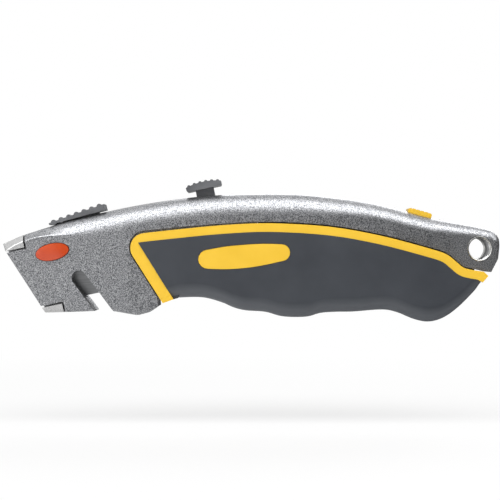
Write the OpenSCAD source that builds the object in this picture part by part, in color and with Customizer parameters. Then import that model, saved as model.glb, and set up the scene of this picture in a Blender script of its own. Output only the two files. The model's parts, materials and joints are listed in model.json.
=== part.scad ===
// Utility knife with a retractable trapezoid blade, a swing-down grip that holds
// the spare blades, and a cord notch in the nose.
// X runs from the nose (-X) to the tail (+X), Y across the knife, Z up to the spine.
// The origin is under the middle of the knife, at the lowest point of the grip.

/* [Body] */
// Half of the thickness of the cast body at the handle
body_half = 9; // [8:0.5:9.4]
// Half of the thickness of the cast body at the tail
tail_half = 8; // [7.5:0.5:9]
// Half of the thickness of the knife over its rubber grips
grip_half = 10; // [9.8:0.1:12]
// Radius of the rounding along both edges of the spine
spine_round = 4.5; // [2:0.5:6]
// Radius of the lanyard hole
lanyard_r = 3.75; // [2.5:0.25:3.9]

/* [Blade] */
// Tilt of the blade's track, nose down
blade_tilt = 12; // [11:0.5:13]
// Length of the cutting edge
blade_len = 61; // [60:0.5:61]
// Height of the blade
blade_high = 19; // [18.5:0.1:19]
// Thickness of the blade
blade_thick = 0.6; // [0.4:0.1:0.6]
// Number of spare blades in the magazine
spare_count = 4; // [1:1:4]

/* [Magazine] */
// Gap between the swing-down grip and the cast body
seam_gap = 0.5; // [0.4:0.1:0.8]
// Width of the coloured trim band
trim_w = 3; // [2:0.2:3.4]
// Radius of the magazine's hinge pin
pin_r = 1; // [0.8:0.1:1.1]

/* [Controls] */
// Width of the thumb cap
thumb_w = 10; // [8:1:12]
// Width of the slide on the nose
nose_slide_w = 9; // [7:1:9]
// Width of the cord notch
notch_w = 5.2; // [5:0.1:5.6]
// Length of the oval release button
button_len = 11.6; // [10:0.2:12]
// Height of the oval release button
button_high = 5.7; // [5:0.1:6]

/* [Hidden] */
$fn = 48;

// Circle of the spine, seen from the side
spine_r = 247;
spine_x = 4;
spine_z = 45 - spine_r;

// Corners and curve points of the side view, as [x, z]
nose_top = [-86.6, 27];
nose_low = [-71.2, 3.2];
nose_base = [[-53.4, 3.8], [-47.1, 3.7], [-38.8, 2.3], [-34.4, 3.5], [-30.7, 6.3]];
tail_low = [83.4, 17.2];
tail_back = [85.9, 22];
tail_c = [81.6, 27.4];
top_line = [[-79.5, 30], [-60, 36], [-41.5, 40.2], [-24.5, 42.9], [-10, 44.3], [3, 44.7],
            [17, 44.6], [28, 43.6], [39, 42.2], [49, 40.1], [64, 36.2], [81, 32.6]];
tail_round_r = 5;
seam_back = [[80.6, 17.5], [76.6, 18.1], [73.6, 18.9], [71.1, 20.9], [67.7, 23.5], [61.8, 25.5],
             [45.1, 29.9], [27.4, 33], [6.9, 34.2], [-9.8, 33.5], [-26.5, 31.9], [-36.6, 30.8]];
corner_c = [-36.2, 25.7];
corner_r = 5.1;
leg_top_in = [-38.6, 27.5];
leg_low = [-30.1, 6.6];
// Shell's edge under the hinge, clear of the grip's lower end as it swings
leg_relief = [[-32.1, 8.9], [-31.75, 5]];
grip_low = [leg_low, [-28.4, 7.2], [-26.4, 7.9], [-23.7, 8.4], [-16.2, 8.4], [-9.8, 6.7], [-5.6, 4.9],
            [-1.4, 3.9], [5.3, 3.4], [11.5, 1.8], [19.5, 1.7], [24.5, 3], [30, 3.4], [36, 3.5],
            [46, 4.2], [51.3, 3.2], [57, 0.9], [62, 0], [67, 1.3], [72.2, 4.9], [77.8, 10.5],
            [79.8, 13.2]];
grip_tip = [82.2, 16];
// Where the rubber ends on the grip's back edge
rubber_tip = [80.3, 13.78];

// Half of the thickness at the front end of the nose
nose_half = 6.1;
// Stations where the body's thickness changes
nose_taper = -42;
tail_taper = [50, 70];

// Past the knife's sides and ends
side_out = 12;
end_out = 95;

// Layers across the knife
core_half = 5.5;
tray_half = 7.8;
wall = 2;
fit_gap = 0.3;
channel_half = 2.8;
trim_half = grip_half - 0.3;
badge_half = grip_half - 0.2;

// Magazine hinge
hinge_x = -30;
hinge_z = 9.9;
knuckle_r = 2.6;
core_floor = 15.8;
core_back = 2.5;
tray_front = core_back + 0.3;
// Where the rubber starts to cover the underside of the tray
sole_front = -24.55;
tongue_high = 1.3;
tongue_room = 1.6;
tongue_back = 78;

// Track of the blade, in the tilted frame
blade_low = 20.8;
blade_back = -8.8;
blade_front = blade_back - blade_len;
blade_top_cut = 13.5;
notch_step = 5.5;
travel = 27;
carrier_front = -38;
carrier_back = 2;
carrier_top = 44;
carrier_half = channel_half - 0.2;
channel_top = 41.2;
bar_front = -14;
bar_back = -2.7;
block_front = blade_back + 0.2;
stem_x = -5.95;
stem_len = 6.4;
stem_half = 1.9;
stem_travel_room = [-36.9, -2.4];
detent_x = -3.3;
cap_low = 49.1;
cap_len = 12.4;
cap_crown = 2;
cap_under = 0.5;
crown_r = 22;
tooth_r = 0.62;
tooth_step = 5.4;

// Magazine contents
spare_x = 3.6;
spare_z = 8.8;
spare_pitch = 0.8;
spare_room_half = 1.9;

// Slide on the nose
slide_c = [-60.1, 36.05];
slide_tilt = 15;
slide_len = 20.3;
slide_travel = 5;
slide_ridges = 7;

// Cord notch
notch_c = [-59.2, 15.3];
notch_turn = -53;

// Gap around the two strips of the nose where the right shell reaches over the left one
tab_gap = 0.6;

// Release button
button_x = -61.9;
button_z = 38;
button_dome_r = 25;

// Catch on the spine
catch_c = [59.2, 37.5];
catch_tilt = 15.5;
catch_len = 8.4;
catch_half = 4;
catch_travel = 3;

// Lanyard hole
hole_x = 79.5;
hole_z = 25.4;
bush_wall = 0.6;

// Shell screws, as [x, z]
screws = [[-41, 8.5], [16, 39.2], [69.3, 29.2]];
screw_r = 1.3;
head_r = 2.8;

// ---- Curves ----

function spline_point(a, b, c, d, t) =
    (2 * b + (c - a) * t + (2 * a - 5 * b + 4 * c - d) * t * t
     + (3 * b - a - 3 * c + d) * t * t * t) / 2;

// A smooth line through the points p, with n steps between two of them
function smooth(p, n = 4) = [
    for (i = [0 : len(p) - 2], k = [0 : n - 1])
        spline_point(p[max(i - 1, 0)], p[i], p[i + 1], p[min(i + 2, len(p) - 1)], k / n),
    p[len(p) - 1]
];

function arc(c, r, from, to, n = 8) =
    [for (i = [0 : n]) let (a = from + (to - from) * i / n) c + r * [cos(a), sin(a)]];

function across(v) = let (l = norm(v)) [v[1], -v[0]] / l;

// The line p moved sideways by d, to the right of its direction
function beside(p, d) = [
    for (i = [0 : len(p) - 1])
        let (a = p[max(i - 1, 0)], b = p[min(i + 1, len(p) - 1)])
        p[i] + d * across(b - a)
];

leg_angle = 212;
seam = concat(smooth(seam_back), arc(corner_c, corner_r, 95, leg_angle), [leg_low]);
bottom = smooth(grip_low, 3);

// How far a point is along the front of the seam, where the gap widens to let the corner swing
function swing_share(p) = min(max((p[1] - 27) / 3, 0), 1) * min(max((-5 - p[0]) / 25, 0), 1);

seam_edge = [
    for (i = [0 : len(seam) - 2])
        let (a = seam[max(i - 1, 0)], b = seam[i + 1])
        seam[i] + seam_gap * (1 + 0.7 * swing_share(seam[i])) * across(b - a)
];

module slab(y0, y1) translate([0, y1, 0]) rotate([90, 0, 0]) linear_extrude(y1 - y0) children();

// The tilted frame of the blade's track
module track() rotate([0, -blade_tilt, 0]) children();

module at_slide() translate([slide_c[0], 0, slide_c[1]]) rotate([0, -slide_tilt, 0]) children();

module at_catch() translate([catch_c[0], 0, catch_c[1]]) rotate([0, catch_tilt, 0]) children();

module block(x0, x1, y0, y1, z0, z1) translate([x0, y0, z0]) cube([x1 - x0, y1 - y0, z1 - z0]);

// A round bar along Y
module rod(r, y0, y1, x = 0, z = 0)
    translate([x, y1, z]) rotate([90, 0, 0]) cylinder(r = r, h = y1 - y0);

module oval(len, high, y0, y1)
    slab(y0, y1) polygon([for (i = [0 : 63]) let (a = 360 * i / 64) [len / 2 * cos(a), high / 2 * sin(a)]]);

// A round wire wound along Y
module coil(mean_r, wire_r, y0, y1, turns) {
    steps = 12;
    sides = 6;
    rings = steps * turns;
    points = [for (i = [0 : rings], k = [0 : sides - 1])
        let (a = 360 * i / steps, b = 360 * k / sides, r = mean_r + wire_r * cos(b))
        [r * cos(a), y0 + wire_r + (y1 - y0 - 2 * wire_r) * i / rings + wire_r * sin(b), r * sin(a)]];
    sides_faces = [for (i = [0 : rings - 1], k = [0 : sides - 1])
        let (n = (k + 1) % sides)
        [i * sides + k, i * sides + n, (i + 1) * sides + n, (i + 1) * sides + k]];
    ends = [[for (k = [0 : sides - 1]) sides - 1 - k], [for (k = [0 : sides - 1]) rings * sides + k]];
    polyhedron(points, concat(sides_faces, ends), convexity = 8);
}

// ---- Side views ----

module door_2d() polygon(concat(seam, bottom, [grip_tip]));

module door_inner_2d()
    polygon(concat([rubber_tip], [for (p = beside(smooth(seam_back), -trim_w)) if (p[0] < 79) p],
                   [leg_top_in], [for (p = bottom) if (p[0] > leg_low[0] + trim_w * 1.2) p]));

module opening_2d()
    polygon(concat([[96, 16.5], [84.6, 16.8 + seam_gap / 2]], seam_edge, leg_relief,
                   [[leg_relief[1][0], -3.5], [96, -3.5]]));

module tray_2d()
    intersection() {
        polygon(concat(beside(seam, -fit_gap), [for (p = bottom) p + [0, p[0] > sole_front ? wall : 0]]));
        polygon([[-50, 0], [81, 0], [81, 50], [-50, 50]]);
    }

module body_2d()
    polygon(concat([nose_low, nose_top], smooth(top_line, 3),
                   arc(tail_c, tail_round_r, 75, -15, 6), [tail_back, tail_low],
                   [[70, 12], [-25, 9]], [for (i = [len(nose_base) - 1 : -1 : 0]) nose_base[i]]));

module blade_2d() {
    a = blade_front;
    b = blade_back;
    z = blade_low;
    t = blade_low + blade_high;
    difference() {
        polygon([[a, z], [b, z], [b - blade_top_cut, t], [a + blade_top_cut, t]]);
        for (x = [-notch_step, notch_step]) translate([(a + b) / 2 + x, t]) square([3, 3.6], center = true);
    }
}

module notch_2d() {
    half = notch_w / 2;
    translate(notch_c) rotate(notch_turn) {
        translate([0, -half]) square([30, 2 * half]);
        circle(r = half);
    }
}

// ---- The cast body ----

module top_view()
    linear_extrude(200, center = true) {
        half = [[-end_out, nose_half], [nose_taper, body_half], [tail_taper[0], body_half],
                [tail_taper[1], tail_half], [end_out, tail_half]];
        polygon(concat(half, [for (i = [len(half) - 1 : -1 : 0]) [half[i][0], -half[i][1]]]));
    }

// The spine's round form, turned about the centre of the spine's circle
module spine_form()
    translate([spine_x, 0, spine_z]) rotate([90, 0, 0]) rotate_extrude($fn = 360) {
        deep = 60;
        translate([spine_r - deep, -body_half]) square([deep - spine_round, 2 * body_half]);
        translate([spine_r - deep, -body_half + spine_round])
            square([deep, 2 * (body_half - spine_round)]);
        for (s = [-1, 1]) translate([spine_r - spine_round, s * (body_half - spine_round)])
            circle(r = spine_round);
    }

module cast_block() {
    intersection() {
        slab(-side_out, side_out) body_2d();
        top_view();
        spine_form();
    }
}

module core() {
    intersection() {
        union() {
            slab(-core_half, core_half) intersection() {
                polygon([[-48, 5], [core_back, 5], [core_back, 40], [-48, 40]]);
                rotate(blade_tilt) translate([-60, core_floor]) square([80, 40]);
            }
            rod(knuckle_r, -core_half, core_half, hinge_x, hinge_z);
        }
        spine_form();
    }
}

// Everything that is cut out of both shells
module cavities() {
    track() {
        // The side of the channel with the carrier, and the wide part behind the blade
        block(carrier_front - travel - 1, carrier_back + 0.6, 0, channel_half, blade_low - 0.6, channel_top);
        block(block_front - travel - 1, carrier_back + 0.6, -channel_half, 0.1, blade_low - 0.6, channel_top);
        block(bar_front - travel - 0.5, bar_back + 0.4, -channel_half, channel_half, 38, carrier_top + 0.3);
        // The slot of the blade
        block(-end_out, block_front - travel, -0.5, 0.5, blade_low - 0.4, blade_low + blade_high + 0.4);
        block(stem_travel_room[0], stem_travel_room[1], -stem_half - fit_gap, stem_half + fit_gap, 40, 60);
        block(-34, carrier_back + 0.6, -channel_half, channel_half, 17, blade_low);
    }
    at_slide() {
        block(-slide_len / 2 - 2.8, slide_len / 2 - 2.2, -1.6, 1.6, -5.4, 10);
        block(-slide_len / 2 - 2.8, slide_len / 2 - 2.2, -3.4, 3.4, -5.4, -2.6);
    }
    slab(-side_out, side_out) notch_2d();
    rod(lanyard_r + bush_wall, -side_out, side_out, hole_x, hole_z);
    rod(pin_r, -tray_half, tray_half, hinge_x, hinge_z);
    // Groove over the magazine, for its tongue
    slab(-5.9, 5.9) intersection() {
        polygon(concat(beside(seam, tongue_high + tongue_room), [[-27, -3.5], [96, -3.5]]));
        translate([core_back, 0]) square([tongue_back + 0.6 - core_back, 60]);
    }
    // Pocket for the striker and the catch's hook
    slab(-3.4, 3.4) polygon([[48, 24], [67, 20], [67, 30.6], [62, 33.2], [48, 36.2]]);
    at_catch() {
        block(-catch_len / 2 - 0.3, catch_len / 2 + catch_travel + 0.3, -catch_half - 0.25,
              catch_half + 0.25, -1.5, 6);
        block(-3.2, 2.2 + catch_travel, -1.8, 1.8, -9, 1);
    }
}

// The two strips of the nose where the right shell reaches over the left one
module nose_tabs(gap)
    track() {
        block(-end_out, -71.2 + gap, -side_out, 0, 41.6 - gap, 60);
        block(-end_out, -62.4 + gap, -side_out, 0, 0, 19.8 + gap);
    }

module shell(y0, y1) {
    intersection() {
        block(-end_out, end_out, y0, y1, -5, 55);
        difference() {
            union() {
                difference() {
                    cast_block();
                    slab(-side_out, side_out) opening_2d();
                }
                core();
            }
            cavities();
        }
    }
}

module left_shell() color("#8c8e90") {
    difference() {
        shell(-side_out, 0);
        nose_tabs(tab_gap);
        track() translate([button_x, 0, button_z]) {
            oval(button_len + 0.5, button_high + 0.5, -side_out, -4);
            oval(button_len + 1.9, button_high + 1.9, -5.7, -2);
            rod(1.55, -4, 0.1);
        }
        for (s = screws) rod(screw_r, -4.5, 0.1, s[0], s[1]);
    }
}

module right_shell() color("#828486") {
    difference() {
        union() {
            shell(0, side_out);
            intersection() {
                shell(-side_out, 0);
                nose_tabs(0);
            }
        }
        for (s = screws) {
            rod(screw_r + 0.1, -0.1, side_out, s[0], s[1]);
            rod(head_r + 0.2, 6, side_out, s[0], s[1]);
        }
    }
}

module lanyard_bush() color("silver")
    difference() {
        rod(lanyard_r + bush_wall, -tail_half, tail_half, hole_x, hole_z);
        rod(lanyard_r, -side_out, side_out, hole_x, hole_z);
    }

module shell_screws() color("dimgray")
    for (s = screws) difference() {
        union() {
            rod(screw_r, -4.3, 6.5, s[0], s[1]);
            rod(head_r, 6, 7.4, s[0], s[1]);
        }
        translate([s[0], 0, s[1]]) for (a = [0, 90]) rotate([0, a, 0]) block(-1.7, 1.7, 6.4, 8, -0.35, 0.35);
    }

module hinge_pin() color("silver") rod(pin_r, -tray_half + 0.2, tray_half - 0.2, hinge_x, hinge_z);

module detent_rack() color("gray") track()
    slab(-channel_half, channel_half) difference() {
        polygon([[-34, 17], [carrier_back, 17], [carrier_back, 18.3], [-34, 18.3]]);
        for (x = [detent_x, detent_x - travel / 2, detent_x - travel])
            translate([x, 18.6]) rotate(45) square(1.2, center = true);
    }

// ---- The sliding carriage ----

module stem_block(z0, z1)
    block(stem_x - stem_len / 2, stem_x + stem_len / 2, -stem_half, stem_half, z0, z1);

module carrier() color("#6b6b6b") track() {
    difference() {
        union() {
            block(carrier_front, carrier_back, 0.4, carrier_half - 0.2, blade_low + 1, 40.4);
            block(block_front, carrier_back, -carrier_half, carrier_half, blade_low + 0.4, 40.4);
            block(bar_front, bar_back, -carrier_half, carrier_half, 40.2, carrier_top);
        }
        // A step that takes the foot of the stem
        stem_block(carrier_top - 1.5, 50);
        // Lightening window beside the blade
        block(-32, -20, 0, 3, 27, 35);
    }
    // The lug that fills the rear notch of the blade
    lug_x = blade_front + blade_len / 2 + notch_step;
    block(lug_x - 1.3, lug_x + 1.3, -0.3, 0.6, blade_low + blade_high - 1.6, blade_low + blade_high - 0.1);
}

module thumb_stem() color("#555555") track()
    stem_block(carrier_top - 1.5, cap_low + 0.9);

// The side view of the cap: a straight underside, a crown and a row of low teeth
module cap_2d() {
    half = cap_len / 2;
    crown_c = [0, cap_crown - crown_r];
    polygon(concat([[-half, 0], [-half + 0.3, -cap_under], [half - 0.3, -cap_under], [half, 0]],
                   arc(crown_c, crown_r, 73.5, 106.5, 12)));
    for (i = [-2.5 : 1 : 2.5])
        translate(crown_c + (crown_r - 0.2) * [sin(i * tooth_step), cos(i * tooth_step)])
            circle(r = tooth_r);
}

module thumb_cap() color("#444648") track()
    difference() {
        slab(-thumb_w / 2, thumb_w / 2) translate([stem_x, cap_low]) cap_2d();
        stem_block(cap_low - 1, cap_low + 0.9);
    }

module blade() color("lightgray") track()
    slab(-blade_thick / 2, blade_thick / 2) blade_2d();

module detent_spring() color("silver") track()
    slab(-1.6, 1.6) polygon([[0.5, blade_low + 0.4], [1.5, blade_low + 0.4], [1.5, 20], [-2.6, 18.55],
                             [-3.3, 18.0], [-4, 18.55], [-6.5, 19.6], [-6.4, 19.9], [-3.9, 18.9],
                             [-3.3, 18.4], [-2.7, 18.9], [0.5, 20.2]]);

// ---- The slide on the nose ----

module nose_slide() color("#4a4c4e") at_slide() {
    slab(-nose_slide_w / 2, nose_slide_w / 2) {
        front = -slide_len / 2;
        polygon([[front, 0.25], [slide_len / 2, 0.25], [slide_len / 2, 2.4], [front, 0.9]]);
        for (i = [0 : slide_ridges - 1]) translate([front + 1.7 + i * 2.8, 0.72 + 0.21 * i])
            circle(r = 0.95);
    }
    block(-slide_len / 2 + 2.6, slide_len / 2 - 2.6, -1.3, 1.3, -3, 0.6);
}

module nose_slide_clip() color("silver") at_slide()
    block(-slide_len / 2 + 2.6, slide_len / 2 - 2.6, -3.1, 3.1, -4.2, -3);

// ---- The release button ----

module release_button() color("#e0552b") track() translate([button_x, 0, button_z]) {
    intersection() {
        oval(button_len, button_high, -9.2, -4.6);
        translate([0, button_dome_r - 8.7, 0]) sphere(r = button_dome_r, $fn = 120);
    }
    oval(button_len + 1.3, button_high + 1.3, -5.4, -4.4);
    rod(1.4, -5, -1.8);
}

module button_spring() color("silver") track() translate([button_x, 0, button_z])
    coil(2.2, 0.25, -4.4, -2, 3);

// ---- The catch on the spine ----

module catch_button() color("#f5c534") at_catch() {
    slab(-catch_half, catch_half) difference() {
        half = catch_len / 2;
        polygon([[-half, -1.2], [half, -1.2], [half, 0.9], [half - 0.8, 1.3],
                 [-half + 0.8, 1.3], [-half, 0.9]]);
        for (i = [-2 : 2]) translate([i * 1.5, 1.45]) rotate(45) square(0.6, center = true);
    }
    block(-2.6, 1.6, -1.5, 1.5, -6, -1);
}

// A leaf that reaches down behind the striker and under its lip
module catch_hook() color("silver") at_catch()
    slab(-1.5, 1.5) polygon([[-2.6, -6], [1.6, -6], [1.6, -7], [-1.4, -7], [-1.4, -10.6], [-5.1, -10.6],
                             [-5.1, -9.8], [-2.6, -9.4]]);

module catch_spring() color("silver") at_catch() translate([0, 0, -4]) rotate([0, 0, -90])
    coil(1.1, 0.2, 1.7, 5.1, 4);

// ---- The swing-down magazine grip ----

module tray_room() {
    // Space for the fixed core and its knuckle
    slab(-core_half - fit_gap, core_half + fit_gap) union() {
        intersection() {
            polygon([[-60, 0], [tray_front, 0], [tray_front, 60], [-60, 60]]);
            rotate(blade_tilt) translate([-60, core_floor - 0.5]) square([90, 60]);
        }
        translate([hinge_x, hinge_z]) circle(r = knuckle_r + 0.5);
        polygon([[-60, 0], [-27, 0], [-27, 30], [-60, 30]]);
    }
}

module spare_room_2d() {
    x0 = spare_x - 0.5;
    x1 = spare_x + blade_len + 0.5;
    polygon([[x0, spare_z - 0.4], [x1, spare_z - 0.4], [x1, spare_z + 2], [x1 - 12, 50], [x0 + 12, 50],
             [x0, spare_z + 2]]);
}

module magazine_tray() color("#3c4046")
    difference() {
        union() {
            slab(-tray_half, tray_half) tray_2d();
            // The tongue that closes the seam from inside
            slab(-core_half, core_half) intersection() {
                polygon(concat(beside(seam, tongue_high), [[-27, 9], [80, 16]]));
                translate([core_back + 0.1, 12]) square([tongue_back - core_back - 0.1, 60]);
            }
        }
        tray_room();
        slab(-spare_room_half, spare_room_half) spare_room_2d();
        for (s = [-1, 1]) slab(s > 0 ? 3 : -core_half - fit_gap, s > 0 ? core_half + fit_gap : -3)
            polygon([[6, 7], [26, 8], [52, 9], [64, 6], [72, 10], [76, 15], [66, 19], [60, 40], [6, 40]]);
        rod(pin_r + 0.05, -side_out, side_out, hinge_x, hinge_z);
    }

// A bridge between the tray's inner walls, with the lip that the catch's hook holds
module striker() color("silver") at_catch()
    slab(-spare_room_half, spare_room_half)
        polygon([[-7, -11.2], [-5.5, -11.2], [-5.5, -9.1], [-3.3, -9.1], [-3.3, -7.9], [-7, -7.9]]);

module grip_half_body() {
    difference() {
        slab(-grip_half, 0) door_inner_2d();
        slab(-tray_half, 1) union() {
            tray_2d();
            polygon([[-60, 0], [sole_front, 0], [sole_front, 40], [-60, 40]]);
        }
        slab(-grip_half - 1, -badge_half + 1.2) badge_2d(0.15);
    }
}

module trim_half_body()
    difference() {
        slab(-trim_half, -tray_half) door_2d();
        slab(-grip_half - 1, 0) door_inner_2d();
    }

// A curved lozenge that follows the trim band
module badge_2d(gap) {
    low = [[-14.6, 18.5 - gap], [-8, 18.35 - gap], [-1, 18.85 - gap], [5, 19.8 - gap], [10.9, 21.1 - gap]];
    high = [[10.9, 26.95 + gap], [6, 27.1 + gap], [0.7, 26.95 + gap], [-8, 26.2 + gap], [-14.6, 25.05 + gap]];
    polygon(concat(arc([-14.6, 21.78], 3.25 + gap, 95, 270), smooth(low, 4),
                   arc([10.9, 24.05], 2.9 + gap, -80, 90), smooth(high, 4)));
}

module badge_half_body() slab(-badge_half, -badge_half + 1.2) badge_2d(0);

module left_grip() color("#484c54") grip_half_body();
module right_grip() color("#484c54") mirror([0, 1, 0]) grip_half_body();
module left_trim() color("#f5c534") trim_half_body();
module right_trim() color("#f5c534") mirror([0, 1, 0]) trim_half_body();
module left_badge() color("#f5c534") badge_half_body();
module right_badge() color("#f5c534") mirror([0, 1, 0]) badge_half_body();

module spare_blades() color("lightgray")
    for (i = [0 : spare_count - 1])
        translate([spare_x - blade_front, (i - (spare_count - 1) / 2) * spare_pitch, spare_z - blade_low])
            slab(-blade_thick / 2, blade_thick / 2) blade_2d();

// A bent strip over the front end of the spare blades
module blade_clip() color("silver")
    slab(-spare_room_half, spare_room_half) polygon([[19.5, 28], [40, 28], [40, 28.6], [19.5, 28.6]]);

left_shell();
right_shell();
lanyard_bush();
shell_screws();
hinge_pin();
detent_rack();
carrier();
thumb_stem();
thumb_cap();
blade();
detent_spring();
nose_slide();
nose_slide_clip();
release_button();
button_spring();
catch_button();
catch_hook();
catch_spring();
magazine_tray();
striker();
left_grip();
right_grip();
left_trim();
right_trim();
left_badge();
right_badge();
spare_blades();
blade_clip();
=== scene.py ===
"""The looks of a utility knife: cast shells, rubber grips, trims, blade, small parts, camera and light."""

import json
import math

import bmesh
import bpy
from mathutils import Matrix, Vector


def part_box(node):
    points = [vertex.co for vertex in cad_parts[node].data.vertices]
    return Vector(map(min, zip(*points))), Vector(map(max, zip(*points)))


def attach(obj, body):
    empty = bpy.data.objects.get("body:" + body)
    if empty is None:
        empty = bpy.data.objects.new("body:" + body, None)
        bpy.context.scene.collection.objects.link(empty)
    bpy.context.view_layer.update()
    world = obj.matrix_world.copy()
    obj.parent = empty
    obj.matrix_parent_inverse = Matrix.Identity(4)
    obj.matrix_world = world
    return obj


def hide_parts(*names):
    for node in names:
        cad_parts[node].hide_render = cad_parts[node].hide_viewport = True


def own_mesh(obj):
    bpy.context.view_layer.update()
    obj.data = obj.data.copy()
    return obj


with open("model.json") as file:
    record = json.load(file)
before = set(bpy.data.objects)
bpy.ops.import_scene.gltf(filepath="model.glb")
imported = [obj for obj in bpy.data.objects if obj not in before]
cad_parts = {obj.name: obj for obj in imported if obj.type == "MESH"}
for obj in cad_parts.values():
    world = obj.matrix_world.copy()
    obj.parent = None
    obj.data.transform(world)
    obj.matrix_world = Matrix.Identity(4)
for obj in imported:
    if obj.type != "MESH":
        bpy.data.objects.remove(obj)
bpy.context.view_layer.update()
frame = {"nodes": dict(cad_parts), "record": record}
NODES = frame["nodes"]

MM = 0.001
SKIN = 0.05  # how far the modelled surfaces stay inside the CAD's, in mm

# Sizes of the cast body, in mm, as in the CAD model
BODY_HALF = 9.0
TAIL_HALF = 8.0
NOSE_HALF = 6.1
GRIP_HALF = 10.0
NOSE_TAPER = (-95, -42)
TAIL_TAPER = (50, 70)
TRACK_TILT = math.radians(12)
CATCH_TILT = math.radians(15.5)
CATCH_AT = (59.2, 37.5)
CATCH_SPRING_SEAT = (5.1, -4.0)  # the spring's fixed end, in the catch's own tilted directions
BUTTON_SPRING_SEAT = -2.0

TOP_LINE = [(-86.6, 27), (-79.5, 30), (-60, 36), (-41.5, 40.2), (-24.5, 42.9), (-10, 44.3), (3, 44.7),
            (17, 44.6), (28, 43.6), (39, 42.2), (49, 40.1), (64, 36.2), (81, 32.6), (84.5, 31.4), (88, 28)]
GRIP_LOW = [(-35, 3.6), (-30.1, 6.6), (-28.4, 7.2), (-26.4, 7.9), (-23.7, 8.4), (-16.2, 8.4), (-9.8, 6.7),
            (-5.6, 4.9), (-1.4, 3.9), (5.3, 3.4), (11.5, 1.8), (19.5, 1.7), (24.5, 3), (30, 3.4), (36, 3.5),
            (46, 4.2), (51.3, 3.2), (57, 0.9), (62, 0), (67, 1.3), (72.2, 4.9), (77.8, 10.5), (79.8, 13.2),
            (83, 16.8)]
NOSE_LOW = [(-104, 3.2), (-71.2, 3.2), (-53.4, 3.8), (-47.1, 3.7), (-43, 3.0), (-38.8, 2.3), (-34.4, 3.5),
            (-30.7, 6.3)]


# ---- Curves ----

def spline_point(a, b, c, d, t):
    """A point of the Catmull-Rom curve between b and c."""
    return tuple(
        (2 * q + (r - p) * t + (2 * p - 5 * q + 4 * r - s) * t * t + (3 * q - p - 3 * r + s) * t ** 3) / 2
        for p, q, r, s in zip(a, b, c, d)
    )


def smooth(points, steps=6):
    """A soft curve through the points, as a line of closer points."""
    last = len(points) - 1
    line = [
        spline_point(points[max(i - 1, 0)], points[i], points[i + 1], points[min(i + 2, last)], k / steps)
        for i in range(last) for k in range(steps)
    ]
    return line + [tuple(map(float, points[last]))]


def height_at(line, x):
    """The z of a line of (x, z) points at x."""
    if x <= line[0][0]:
        return line[0][1]
    for (x0, z0), (x1, z1) in zip(line, line[1:]):
        if x <= x1:
            return z0 + (z1 - z0) * (x - x0) / max(x1 - x0, 1e-9)
    return line[-1][1]


def blend(value, low, high):
    """0 below low, 1 above high and a soft step between them."""
    t = min(max((value - low) / (high - low), 0), 1)
    return t * t * (3 - 2 * t)


TOP = smooth(TOP_LINE)
LOW = smooth(GRIP_LOW)


def body_half(x):
    """Half of the cast body's thickness, which tapers towards the nose and the tail."""
    if x < NOSE_TAPER[1]:
        share = (x - NOSE_TAPER[0]) / (NOSE_TAPER[1] - NOSE_TAPER[0])
        return NOSE_HALF + (BODY_HALF - NOSE_HALF) * share
    share = (x - TAIL_TAPER[0]) / (TAIL_TAPER[1] - TAIL_TAPER[0])
    return BODY_HALF + (TAIL_HALF - BODY_HALF) * min(max(share, 0), 1)


# ---- Meshes ----

def link(obj):
    bpy.context.scene.collection.objects.link(obj)
    return obj


def mesh_object(name, points, faces, angle=32):
    """An object of points in mm, with smooth shading up to an angle between faces."""
    mesh = bpy.data.meshes.new(name)
    mesh.from_pydata([Vector(p) * MM for p in points], [], faces)
    obj = link(bpy.data.objects.new(name, mesh))
    fix_normals(obj)
    shade(obj, angle)
    return obj


def fix_normals(obj):
    bm = bmesh.new()
    bm.from_mesh(obj.data)
    bmesh.ops.recalc_face_normals(bm, faces=bm.faces)
    bm.to_mesh(obj.data)
    bm.free()


def shade(obj, angle=32):
    obj.data.shade_smooth()
    obj.data.set_sharp_from_angle(angle=math.radians(angle))


def tube(name, rings, angle=32):
    """A closed solid through rings that all have the same number of points."""
    n = len(rings[0])
    points = [p for ring in rings for p in ring]
    faces = [
        (i * n + k, i * n + (k + 1) % n, (i + 1) * n + (k + 1) % n, (i + 1) * n + k)
        for i in range(len(rings) - 1) for k in range(n)
    ]
    faces.append(tuple(range(n - 1, -1, -1)))
    faces.append(tuple((len(rings) - 1) * n + k for k in range(n)))
    return mesh_object(name, points, faces, angle)


def copy_node(node, name):
    """A welded copy of a CAD node's mesh, to be cut into a finer shape."""
    obj = link(bpy.data.objects.new(name, NODES[node].data.copy()))
    obj.data.materials.clear()
    bm = bmesh.new()
    bm.from_mesh(obj.data)
    bmesh.ops.remove_doubles(bm, verts=bm.verts, dist=1e-6)
    bm.to_mesh(obj.data)
    bm.free()
    return obj


def cut(obj, tool, operation):
    """Applies a boolean with another solid, which is then removed."""
    mod = obj.modifiers.new("cut", "BOOLEAN")
    mod.object = tool
    mod.operation = operation
    mod.solver = "MANIFOLD"
    result = bpy.data.meshes.new_from_object(obj.evaluated_get(bpy.context.evaluated_depsgraph_get()))
    obj.modifiers.clear()
    obj.data = result
    bpy.data.objects.remove(tool)


# ---- The cast body's outer form ----

FRONT_X = -86.6 + SKIN
BACK_X = 86.6 - SKIN
FRONT_SLOPE = -15.4 / 23.8  # of the nose's front face, as dx / dz
FRONT_Z = 27.0
NOSE_FILLET = 0.7
TAIL_FILLET = 1.6


def fillet(distance, radius):
    """How far a rounded edge has dropped at a distance from its outer end."""
    d = 1 - min(max(distance, 0) / radius, 1)
    return radius * (1 - math.sqrt(1 - d * d))


ARC_STEPS = 16
FACET_Y = 3.7  # width of the nose's sloping facet
CREST_END, FACET_END = 0.35, 0.9  # where the crest and the facet end along a side
CREST_DROP, FACET_SINK, EDGE_DROP = 0.35, 0.04, 0.25
NOSE_END = -31.2  # where the cast nose's underside ends


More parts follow.
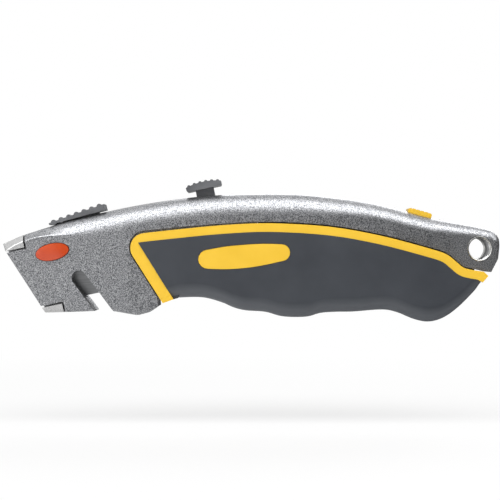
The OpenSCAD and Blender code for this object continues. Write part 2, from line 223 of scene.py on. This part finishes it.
def round_side(t, half, top, across, down):
    """A point of the spine's rounded side, with t from 0 on top to 1 at the side."""
    a = math.pi / 2 * t
    return half - across * (1 - math.sin(a)), top - down * (1 - math.cos(a))


def faceted_side(t, half, top, facet_z):
    """A point of the nose's side: a nearly flat crest, a sloping facet and a short edge."""
    if t < CREST_END:
        s = t / CREST_END
        return half - FACET_Y - (1 - s) ** 2, top - CREST_DROP * s ** 2
    if t < FACET_END:
        s = (t - CREST_END) / (FACET_END - CREST_END)
        return half - FACET_Y * (1 - s) - FACET_SINK * s, top - CREST_DROP - (facet_z - CREST_DROP) * s
    s = (t - FACET_END) / (1 - FACET_END)
    return half - FACET_SINK * (1 - s), top - facet_z - EDGE_DROP * s


def low_corner(u, half):
    """The three lowest points of a side: a rounded corner in the nose, and far below the seam behind it."""
    if u >= NOSE_END:
        return [(half, -5.8), (half, -5.9), (half, -6)]
    radius = 0.9 + 0.6 * blend(u, -60, -50)
    low = height_at(NOSE_LOW, u) + SKIN
    return [(half, low + radius), (half - radius * 0.3, low + radius * 0.3), (half - radius, low)]


def body_section(u):
    """The closed outline of the cast body at station u, as points in mm."""
    top = height_at(TOP, u) - SKIN
    half = body_half(u) - SKIN - fillet(u - FRONT_X, NOSE_FILLET) - fillet(BACK_X - u, TAIL_FILLET)
    across = 6.6 - 3.4 * blend(u, 58, 84)
    down = 8.3 - 2.2 * blend(u, 10, 50) - 2.4 * blend(u, 54, 84)
    facet_z = 2.4 + 0.7 * blend(u, -80, -62)
    sharp = 1 - blend(u, -74, -50)
    side = []
    for i in range(ARC_STEPS + 1):
        t = i / ARC_STEPS
        soft_y, soft_z = round_side(t, half, top, across, down)
        flat_y, flat_z = faceted_side(t, half, top, facet_z)
        side.append((soft_y + (flat_y - soft_y) * sharp, soft_z + (flat_z - soft_z) * sharp))
    side += low_corner(u, half)
    lean = FRONT_SLOPE * (1 - blend(u, -86, -52))
    loop = side + [(-y, z) for y, z in reversed(side)]
    return [(u + lean * (z - FRONT_Z), y, z) for y, z in loop]


def stations(start, end, step, edge, edge_steps):
    """Values from start to end, closer together near both ends."""
    count = round((end - start - 2 * edge) / step)
    margins = [edge * (1 - math.cos(math.pi / 2 * i / edge_steps)) for i in range(edge_steps)]
    first = [start + margin for margin in margins]
    middle = [start + edge + (end - start - 2 * edge) * i / count for i in range(count + 1)]
    last = [end - margin for margin in reversed(margins)]
    return first + middle + last


def body_form():
    return tube("body_form", [body_section(u) for u in stations(FRONT_X, BACK_X, 1.2, 1.6, 7)])


# ---- Materials ----

def ranged(tree, source, low, high, to_low=0.0, to_high=1.0, soft=False):
    """A map range node's output. The values it maps to can be numbers or sockets."""
    node = tree.nodes.new("ShaderNodeMapRange")
    if soft:
        node.interpolation_type = "SMOOTHSTEP"
    node.inputs["From Min"].default_value = low
    node.inputs["From Max"].default_value = high
    for key, value in (("To Min", to_low), ("To Max", to_high)):
        if hasattr(value, "node"):
            tree.links.new(value, node.inputs[key])
        else:
            node.inputs[key].default_value = value
    tree.links.new(source, node.inputs["Value"])
    return node.outputs[0]


def combined(tree, operation, a, b):
    """A math node's output for two sockets."""
    node = tree.nodes.new("ShaderNodeMath")
    node.operation = operation
    tree.links.new(a, node.inputs[0])
    tree.links.new(b, node.inputs[1])
    return node.outputs[0]


def axis_of(tree, source, axis):
    """One axis of a vector."""
    split = tree.nodes.new("ShaderNodeSeparateXYZ")
    tree.links.new(source, split.inputs[0])
    return split.outputs[axis]


class Nodes:
    """A short way to write a procedural material."""

    def __init__(self, name):
        self.material = bpy.data.materials.new(name)
        self.material.use_nodes = True
        self.tree = self.material.node_tree
        self.shader = self.tree.nodes["Principled BSDF"]
        self.coords = self.add("ShaderNodeTexCoord").outputs["Object"]

    def add(self, kind, **settings):
        node = self.tree.nodes.new(kind)
        for key, value in settings.items():
            setattr(node, key, value)
        return node

    def link(self, a, b):
        self.tree.links.new(a, b)

    def noise(self, scale, detail=2.0, rough=0.5, stretch=None):
        node = self.add("ShaderNodeTexNoise")
        node.inputs["Scale"].default_value = scale
        node.inputs["Detail"].default_value = detail
        node.inputs["Roughness"].default_value = rough
        source = self.coords
        if stretch:
            mapping = self.add("ShaderNodeMapping")
            mapping.inputs["Scale"].default_value = stretch
            self.link(source, mapping.inputs["Vector"])
            source = mapping.outputs["Vector"]
        self.link(source, node.inputs["Vector"])
        return node.outputs["Fac"]

    def ramp(self, factor, *stops):
        """Colours or greys at places between 0 and 1."""
        node = self.add("ShaderNodeValToRGB")
        elements = node.color_ramp.elements
        while len(elements) < len(stops):
            elements.new(0.5)
        for element, (place, colour) in zip(elements, stops):
            element.position = place
            element.color = (*colour, 1) if isinstance(colour, tuple) else (colour, colour, colour, 1)
        self.link(factor, node.inputs["Fac"])
        return node.outputs["Color"]

    def mixed(self, factor, first, second):
        """A mix of two colours. The second can be a socket or a colour."""
        node = self.add("ShaderNodeMix", data_type="RGBA")
        self.link(factor, node.inputs["Factor"])
        self.link(first, node.inputs["A"])
        if hasattr(second, "node"):
            self.link(second, node.inputs["B"])
        else:
            node.inputs["B"].default_value = (*second, 1)
        return node.outputs["Result"]

    def bump(self, height, distance, strength=1.0, after=None):
        node = self.add("ShaderNodeBump")
        node.inputs["Distance"].default_value = distance
        node.inputs["Strength"].default_value = strength
        self.link(height, node.inputs["Height"])
        if after:
            self.link(after, node.inputs["Normal"])
        return node.outputs["Normal"]

    def finish(self, colour, rough, normal=None, **values):
        for socket, value in (("Base Color", colour), ("Roughness", rough), ("Normal", normal)):
            if value is None:
                continue
            if hasattr(value, "node"):
                self.link(value, self.shader.inputs[socket])
            elif socket == "Base Color":
                self.shader.inputs[socket].default_value = (*value, 1)
            else:
                self.shader.inputs[socket].default_value = value
        for key, value in values.items():
            self.shader.inputs[key.replace("_", " ")].default_value = value
        return self.material


def shell_paint(name, bare_tabs=False):
    """Grey hammered enamel. The strips of the nose that reach across the seam are nearly bare metal."""
    m = Nodes(name)
    grain = m.noise(3400, 2, 0.7)
    flake = m.noise(1300, 1, 0.5)
    colour = m.ramp(grain, (0.40, (0.105, 0.109, 0.118)), (0.5, (0.285, 0.29, 0.303)),
                    (0.60, (0.565, 0.57, 0.585)))
    if bare_tabs:
        bare = m.ramp(grain, (0.30, 0.42), (0.7, 0.72))
        where = m.add("ShaderNodeMath", operation="LESS_THAN")
        where.inputs[1].default_value = -0.4 * MM
        m.link(axis_of(m.tree, m.coords, "Y"), where.inputs[0])
        colour = m.mixed(where.outputs[0], colour, bare)
    rough = m.ramp(flake, (0.3, 0.30), (0.7, 0.42))
    normal = m.bump(grain, 0.00005, 0.5, m.bump(flake, 0.00004, 0.25))
    return m.finish(colour, rough, normal, Metallic=0.9, Specular_IOR_Level=0.5)


def rubber(name, colour, light, rough=0.45, painted_floor_reflection=None):
    """Moulded rubber. It can have a lighter colour where its surface turns down, a painted reflection of the
    pale floor below.
    """
    m = Nodes(name)
    cloud = m.noise(60, 3, 0.6)
    skin = m.noise(2600, 2, 0.6)
    base = m.ramp(cloud, (0.3, colour), (0.75, light))
    if painted_floor_reflection:
        # the colour mixed in on faces that turn down is a painted reflection of the floor, not the rubber's
        # own colour
        facing = axis_of(m.tree, m.add("ShaderNodeNewGeometry").outputs["Normal"], "Z")
        base = m.mixed(ranged(m.tree, facing, -0.10, -0.55), base, painted_floor_reflection)
    return m.finish(base, rough, m.bump(skin, 0.00003, 0.5), Specular_IOR_Level=0.5)


def plastic(name, colour, light, rough, coat=0.0, grain=0.00002):
    m = Nodes(name)
    cloud = m.noise(120, 2, 0.5)
    skin = m.noise(3000, 2, 0.5)
    return m.finish(m.ramp(cloud, (0.3, colour), (0.8, light)), rough, m.bump(skin, grain, 0.4),
                    Coat_Weight=coat, Coat_Roughness=0.08)


def steel(name, colour, light, rough, stretch):
    m = Nodes(name)
    lines = m.noise(900, 3, 0.6, stretch)
    return m.finish(m.ramp(lines, (0.3, colour), (0.7, light)), rough, m.bump(lines, 0.00001, 0.4),
                    Metallic=1.0)


MATERIALS = {
    "shell_paint": shell_paint("shell_paint"),
    "shell_paint_tabs": shell_paint("shell_paint_tabs", True),
    # grip_rubber's lighter colour on its downward faces is a painted floor reflection
    "grip_rubber": rubber("grip_rubber", (0.030, 0.034, 0.042), (0.043, 0.048, 0.057),
                          painted_floor_reflection=(0.088, 0.095, 0.107)),
    "yellow_rubber": rubber("yellow_rubber", (0.75, 0.455, 0.022), (0.81, 0.505, 0.034), 0.42),
    "yellow_plastic": plastic("yellow_plastic", (0.75, 0.455, 0.022), (0.81, 0.505, 0.034), 0.36, 0.15),
    "orange_plastic": plastic("orange_plastic", (0.47, 0.040, 0.003), (0.57, 0.070, 0.007), 0.24, 0.6),
    "dark_plastic": plastic("dark_plastic", (0.055, 0.058, 0.064), (0.16, 0.163, 0.172), 0.38, 0, 0.00012),
    "tray_plastic": plastic("tray_plastic", (0.030, 0.032, 0.038), (0.05, 0.053, 0.06), 0.5),
    "bright_steel": steel("bright_steel", (0.62, 0.62, 0.61), (0.80, 0.80, 0.78), 0.25, (1, 8, 1)),
    "dark_steel": steel("dark_steel", (0.05, 0.05, 0.055), (0.10, 0.10, 0.11), 0.4, (1, 1, 1)),
    "cast_zinc": steel("cast_zinc", (0.30, 0.30, 0.31), (0.44, 0.44, 0.45), 0.5, (1, 1, 1)),
    # blade_steel is much darker than bright steel: painted shade, for the blade lying deep in its slot
    "blade_steel": steel("blade_steel", (0.20, 0.205, 0.21), (0.30, 0.305, 0.31), 0.3, (0.15, 1, 3)),
}
SLOT_OF = {s["node"]: s["material_slot"] for s in frame["record"]["subparts"]}


def dress(obj, slot):
    obj.data.materials.clear()
    obj.data.materials.append(MATERIALS[slot])


def stand_for(obj, node, body):
    """A modelled piece that takes a CAD node's place, material and body."""
    dress(obj, SLOT_OF[node])
    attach(obj, body)
    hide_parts(node)


def settle_normals(obj):
    """Lets the large faces set the shading, so that rounded edges don't darken them."""
    mod = obj.modifiers.new("normals", "WEIGHTED_NORMAL")
    mod.keep_sharp = True
    mod.weight = 50


def bevel(obj, width, segments=3, angle=30):
    """Rounds the edges sharper than an angle, to a width in mm."""
    mod = obj.modifiers.new("edges", "BEVEL")
    mod.width = width * MM
    mod.segments = segments
    mod.limit_method = "ANGLE"
    mod.angle_limit = math.radians(angle)
    mod.harden_normals = False
    mod.use_clamp_overlap = True


# ---- Shells ----

def make_shells():
    for node, paint in (("left_shell", "shell_paint"), ("right_shell", "shell_paint_tabs")):
        shell = copy_node(node, node + "_cast")
        cut(shell, body_form(), "INTERSECT")
        shade(shell)
        bevel(shell, 0.35, 2, 50)
        settle_normals(shell)
        stand_for(shell, node, "frame")
        shell.data.materials[0] = MATERIALS[paint]


# ---- Grips ----

CROWN = 0.25  # how much lower the grip's face is at its top edge
GRIP_TOP = 36.0  # where the crowned face begins
EDGE_Y, EDGE_Z = 5.2, 5.6  # the rounding of the grip's lower edge
INNER_Y = 1.0  # the grip form reaches this far past the middle of the knife
FACE_ROWS, EDGE_STEPS = 12, 14


def grip_section(x, side):
    """The closed outline of one grip at x: a crowned face and a rounded lower edge."""
    low = height_at(LOW, x) + SKIN
    full = GRIP_HALF - SKIN
    points = [(INNER_Y, 50.0), (CROWN - full, 50.0)]
    for i in range(FACE_ROWS):
        t = i / FACE_ROWS
        sunk = CROWN * (1 - 2 * t) ** 2 if t < 0.5 else 0
        points.append((sunk - full, GRIP_TOP + (low + EDGE_Z - GRIP_TOP) * t))
    for i in range(EDGE_STEPS + 1):
        a = math.pi / 2 * i / EDGE_STEPS
        points.append((EDGE_Y * (1 - math.cos(a)) - full, low + EDGE_Z * (1 - math.sin(a))))
    points.append((INNER_Y, low))
    return [(x, -side * y, z) for y, z in points]


def make_grips():
    for node, side in (("left_grip", -1), ("right_grip", 1)):
        grip = copy_node(node, node + "_rubber")
        rings = [grip_section(x, side) for x in stations(-44, 85, 0.9, 1, 2)]
        cut(grip, tube("grip_form", rings), "INTERSECT")
        shade(grip)
        bevel(grip, 0.3, 2, 50)
        settle_normals(grip)
        stand_for(grip, node, "magazine")


# ---- Lanyard hole ----

def make_eyelets():
    """Two rolled eyelets, one in each shell, turned about the lanyard hole's axis."""
    low, high = (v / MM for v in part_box("lanyard_bush"))
    x, z = (low.x + high.x) / 2, (low.z + high.z) / 2
    outer = (high.x - low.x) / 2 - SKIN
    inner, deep, rim, chamfer = 3.78, 4.6, 0.34, 0.12
    turns, rim_steps = 64, 5
    profile = [(outer, deep), (inner, deep), (inner, high.y - rim)]
    for i in range(1, rim_steps + 1):
        a = math.pi / 2 * i / rim_steps
        profile.append((inner + rim * (1 - math.cos(a)), high.y - rim * (1 - math.sin(a))))
    profile += [(outer - chamfer, high.y), (outer, high.y - chamfer)]
    n = len(profile)
    points, faces = [], []
    for side in (-1, 1):
        start = len(points)
        for k in range(turns):
            a = 2 * math.pi * k / turns
            points += [(x + r * math.cos(a), side * y, z + r * math.sin(a)) for r, y in profile]
        faces += [
            (start + k * n + i, start + k * n + (i + 1) % n,
             start + (k + 1) % turns * n + (i + 1) % n, start + (k + 1) % turns * n + i)
            for k in range(turns) for i in range(n)
        ]
    eyelets = mesh_object("lanyard_eyelets", points, faces)
    stand_for(eyelets, "lanyard_bush", "frame")


# ---- Blades ----

# The blade's place and size along the tilted track, in mm
BLADE_LOW, BLADE_BACK, BLADE_LEN, BLADE_HIGH, BLADE_HALF = 20.8, -8.8, 61.0, 19.0, 0.3
BLADE_FRONT = BLADE_BACK - BLADE_LEN
BLADE_CUT = 13.5  # how much shorter the blade's back is at each end
SPARE_PITCH = 0.8
EDGE_HALF = 0.01  # half of the cutting edge's thickness
GROUND = 3.6  # height of the ground bevel above the cutting edge
NOTCH_STEP, NOTCH_HALF, NOTCH_DEEP = 5.5, 1.5, 1.8


def blade_mesh(name, places):
    """Blades with a ground edge. A place turns a blade's (x, z) into the model's and gives its y."""
    a, b = BLADE_FRONT, BLADE_BACK
    low, top = BLADE_LOW, BLADE_LOW + BLADE_HIGH
    middle = (a + b) / 2
    slope = BLADE_CUT / BLADE_HIGH
    outline = [(a, low), (b, low), (b - slope * GROUND, low + GROUND), (b - BLADE_CUT, top)]
    for x in (middle + NOTCH_STEP, middle - NOTCH_STEP):
        outline += [(x + NOTCH_HALF, top), (x + NOTCH_HALF, top - NOTCH_DEEP),
                    (x - NOTCH_HALF, top - NOTCH_DEEP), (x - NOTCH_HALF, top)]
    outline += [(a + BLADE_CUT, top), (a + slope * GROUND, low + GROUND)]
    n = len(outline)
    points, faces = [], []
    for place in places:
        start = len(points)
        for side in (-1, 1):
            for x, z in outline:
                half = EDGE_HALF if z == low else BLADE_HALF - EDGE_HALF
                px, py, pz = place(x, z)
                points.append((px, py + side * half, pz))
        for side in (0, n):
            faces.append(tuple(start + side + i for i in (0, 1, 2, n - 1)))
            faces.append(tuple(start + side + i for i in range(2, n)))
        faces += [(start + i, start + (i + 1) % n, start + n + (i + 1) % n, start + n + i) for i in range(n)]
    return mesh_object(name, points, faces, 10)


def on_track(x, z):
    """The place in the model of a point of the tilted track."""
    c, s = math.cos(TRACK_TILT), math.sin(TRACK_TILT)
    return x * c - z * s, 0.0, x * s + z * c


def make_blades():
    blade = blade_mesh("blade_ground", [on_track])
    stand_for(blade, "blade", "carriage")
    low, high = (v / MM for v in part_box("spare_blades"))
    count = round((high.y - low.y - 2 * BLADE_HALF) / SPARE_PITCH) + 1
    places = [
        lambda x, z, i=i: (x - BLADE_FRONT + low.x, low.y + BLADE_HALF + i * SPARE_PITCH,
                           z - BLADE_LOW + low.z)
        for i in range(count)
    ]
    spares = blade_mesh("spare_blades_ground", places)
    stand_for(spares, "spare_blades", "magazine")


# ---- Springs ----

def make_springs():
    """The two coil springs of the button and the catch, as smooth-shaded copies of the CAD's coils."""
    c, s = math.cos(CATCH_TILT), math.sin(CATCH_TILT)
    along, up = CATCH_SPRING_SEAT
    catch_seat = ((CATCH_AT[0] + along * c + up * s) * MM, 0, (CATCH_AT[1] - along * s + up * c) * MM)
    for name, joint, axis, seat, keep in (
            ("button_spring", "button_press", (0, 1, 0), (0, BUTTON_SPRING_SEAT * MM, 0), 0.48),
            ("catch_spring", "catch_travel", (c, 0, -s), catch_seat, 0.12)):
        coil = copy_node(name, name + "_coil")
        shade(coil)
        stand_for(coil, name, "frame")
        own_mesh(coil)


# ---- Small parts ----

# The widths of their rounded edges, in mm
SMALL_BEVELS = {
    "left_trim": 0.55, "right_trim": 0.55, "left_badge": 0.35, "right_badge": 0.35,
    "thumb_cap": 0.25, "thumb_stem": 0.3, "nose_slide": 0.25, "nose_slide_clip": 0.2,
    "catch_button": 0.3, "release_button": 0.8, "magazine_tray": 0.2, "shell_screws": 0.15,
}


def dress_small_parts():
    """Paints the CAD's own pieces that nothing has replaced."""
    for name, node in NODES.items():
        if node.hide_render:
            continue
        dress(node, SLOT_OF[name])
        if name in SMALL_BEVELS:
            bevel(node, SMALL_BEVELS[name])


# ---- Camera, floor and light ----

def make_camera():
    distance, seen_width, height = 0.5, 0.17575, 0.02496
    data = bpy.data.cameras.new("camera")
    camera = link(bpy.data.objects.new("camera", data))
    data.sensor_width = 36
    data.lens = data.sensor_width * distance / seen_width
    data.clip_start = 0.01
    camera.location = (0, -distance, height)
    camera.rotation_euler = (math.pi / 2, 0, 0)
    bpy.context.scene.camera = camera


def lamp(name, place, aim, size, power):
    data = bpy.data.lights.new(name, "AREA")
    data.shape = "RECTANGLE"
    data.size, data.size_y = size
    data.energy = power
    light = link(bpy.data.objects.new(name, data))
    light.location = place
    light.rotation_euler = (Vector(aim) - Vector(place)).to_track_quat("-Z", "Y").to_euler()
    return light


def seen(tree):
    """Two factors: 1 for rays straight from the camera or through glass, and 1 for rays in a reflection."""
    path = tree.nodes.new("ShaderNodeLightPath")
    direct = combined(tree, "MAXIMUM", path.outputs["Is Camera Ray"], path.outputs["Is Transmission Ray"])
    return direct, path.outputs["Is Glossy Ray"]


FLOOR_Z = -0.036  # just under the grip's lowest corner when the magazine is open
FLOOR_HALF = 3.0


def floor_material():
    """Matt white that fades to pure white away from the object. In reflections it is darker near the tail."""
    material = bpy.data.materials.new("floor")
    material.use_nodes = True
    tree = material.node_tree
    shader = tree.nodes["Principled BSDF"]
    shader.inputs["Base Color"].default_value = (0.82, 0.82, 0.82, 1)
    shader.inputs["Roughness"].default_value = 0.9
    shader.inputs["Specular IOR Level"].default_value = 0.0
    place = tree.nodes.new("ShaderNodeNewGeometry").outputs["Position"]
    far = tree.nodes.new("ShaderNodeVectorMath")
    far.operation = "LENGTH"
    tree.links.new(place, far.inputs[0])
    direct, mirrored = seen(tree)
    faded = ranged(tree, far.outputs["Value"], 0.08, 0.34, 0.65, 1.0)
    share = combined(tree, "MAXIMUM", combined(tree, "MULTIPLY", direct, faded), mirrored)
    darker = ranged(tree, axis_of(tree, place, "X"), -0.06, 0.09, 0.85, 0.12)
    glow = tree.nodes.new("ShaderNodeEmission")
    tree.links.new(ranged(tree, mirrored, 0, 1, 1.0, darker), glow.inputs["Strength"])
    mix = tree.nodes.new("ShaderNodeMixShader")
    tree.links.new(share, mix.inputs[0])
    tree.links.new(shader.outputs[0], mix.inputs[1])
    tree.links.new(glow.outputs[0], mix.inputs[2])
    tree.links.new(mix.outputs[0], tree.nodes["Material Output"].inputs[0])
    return material


def make_floor():
    mesh = bpy.data.meshes.new("floor")
    corners = [(x * FLOOR_HALF, y * FLOOR_HALF, 0) for x, y in ((-1, -1), (1, -1), (1, 1), (-1, 1))]
    mesh.from_pydata(corners, [], [(0, 1, 2, 3)])
    mesh.materials.append(floor_material())
    floor = link(bpy.data.objects.new("floor", mesh))
    floor.location.z = FLOOR_Z


def make_world():
    """A white studio: even and dim as a light, and in reflections bright above and darker in front."""
    world = bpy.data.worlds.new("studio")
    bpy.context.scene.world = world
    world.use_nodes = True
    tree = world.node_tree
    background = tree.nodes["Background"]
    background.inputs["Color"].default_value = (1, 1, 1, 1)
    way = tree.nodes.new("ShaderNodeTexCoord").outputs["Generated"]
    front = ranged(tree, axis_of(tree, way, "X"), -0.26, 0.22, 0.62, 0.10, soft=True)
    around = ranged(tree, axis_of(tree, way, "Z"), 0.30, 0.75, front, 1.0, soft=True)
    direct, mirrored = seen(tree)
    shown = ranged(tree, mirrored, 0, 1, 0.2, around, soft=True)
    tree.links.new(ranged(tree, direct, 0, 1, shown, 1.0, soft=True), background.inputs["Strength"])


def make_lamps():
    lamp("softbox_above", (0.0, -0.30, 0.52), (0, 0, 0.03), (1.3, 0.42), 5.2)
    lamp("key_left", (-0.60, -0.50, 0.25), (0, 0, 0.02), (0.5, 0.5), 1.4)
    fill = lamp("fill_low", (0.2, -0.65, 0.05), (0, 0, 0.01), (0.9, 0.08), 0.8)
    fill.visible_glossy = False  # it lifts the undersides, and shows in no reflection
    lamp("back", (0.2, 0.6, 0.4), (0, 0, 0.03), (0.6, 0.4), 3.0)


make_shells()
make_grips()
make_eyelets()
make_blades()
make_springs()
dress_small_parts()
make_camera()
make_floor()
make_world()
make_lamps()
bpy.context.scene.view_settings.view_transform = "Standard"
